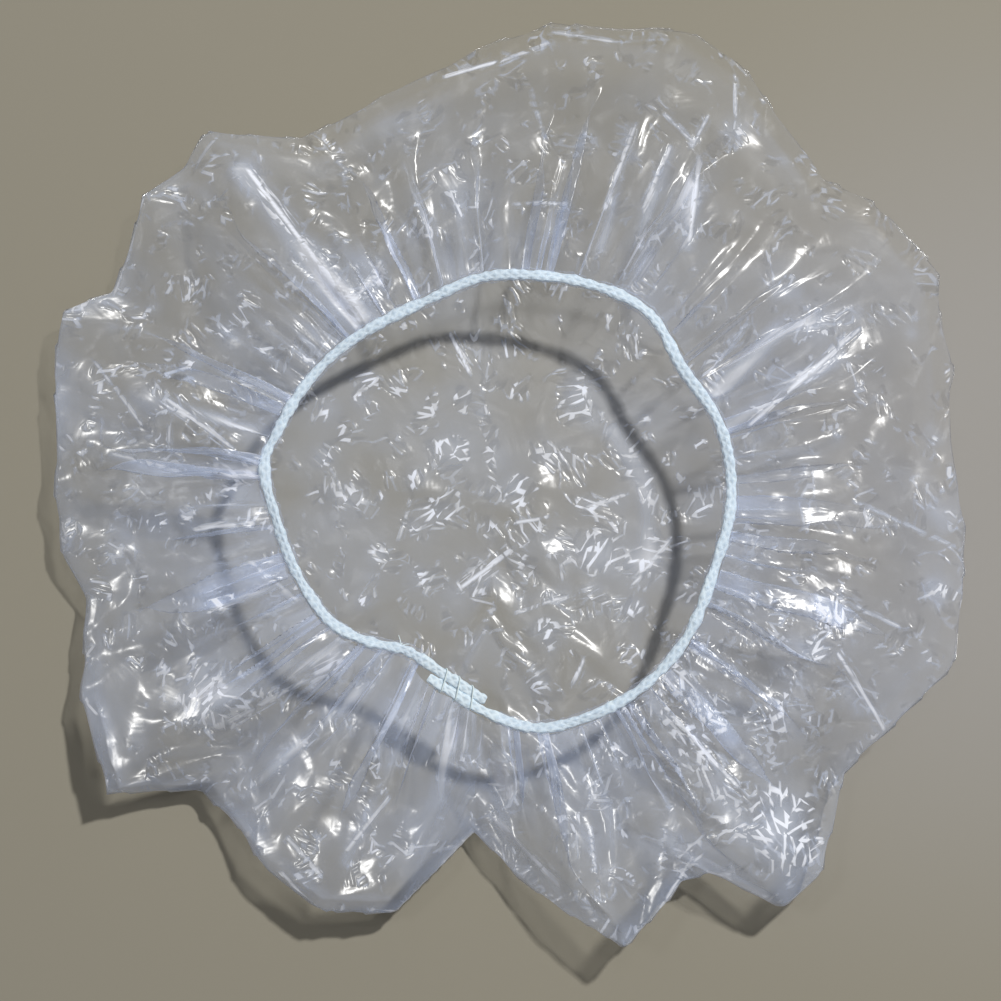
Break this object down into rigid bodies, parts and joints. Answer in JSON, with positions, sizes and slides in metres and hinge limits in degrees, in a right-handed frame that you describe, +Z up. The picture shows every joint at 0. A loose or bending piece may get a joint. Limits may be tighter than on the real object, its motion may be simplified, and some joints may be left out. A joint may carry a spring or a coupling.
{
  "type": "shower cap",
  "caption": "Clear film shower cap with an elastic-gathered mouth, lying on its crown with the mouth facing up.",
  "frame": {"origin": "on the surface that the cap lies on, below the middle of its mouth", "axes": "+Z up, out of the mouth; +X and +Y along the surface, with the elastic's overlap towards -Y"},
  "size_m": [0.2966, 0.3026, 0.0369],
  "materials": {
    "film": "thin clear polyethylene film, glossy and finely crumpled",
    "woven_cover": "braided yarn, matt, very pale blue",
    "rubber": "natural rubber strand, matt",
    "thread": "fine sewing thread, matt"
  },
  "bodies": {
    "film": {"film_cap": "film"},
    "rim": {"hem_sleeve": "film", "elastic_cover": "woven_cover", "rubber_strand_inner": "rubber", "rubber_strand_outer": "rubber", "tack_stitch_1": "thread", "tack_stitch_2": "thread", "tack_stitch_3": "thread"}
  },
  "joints": [
    {"name": "rim_lift", "type": "slide", "parent": "film", "child": "rim", "axis": [0, 0, 1], "range_m": [0, 0.03], "deforming": ["film_cap"]}
  ]
}
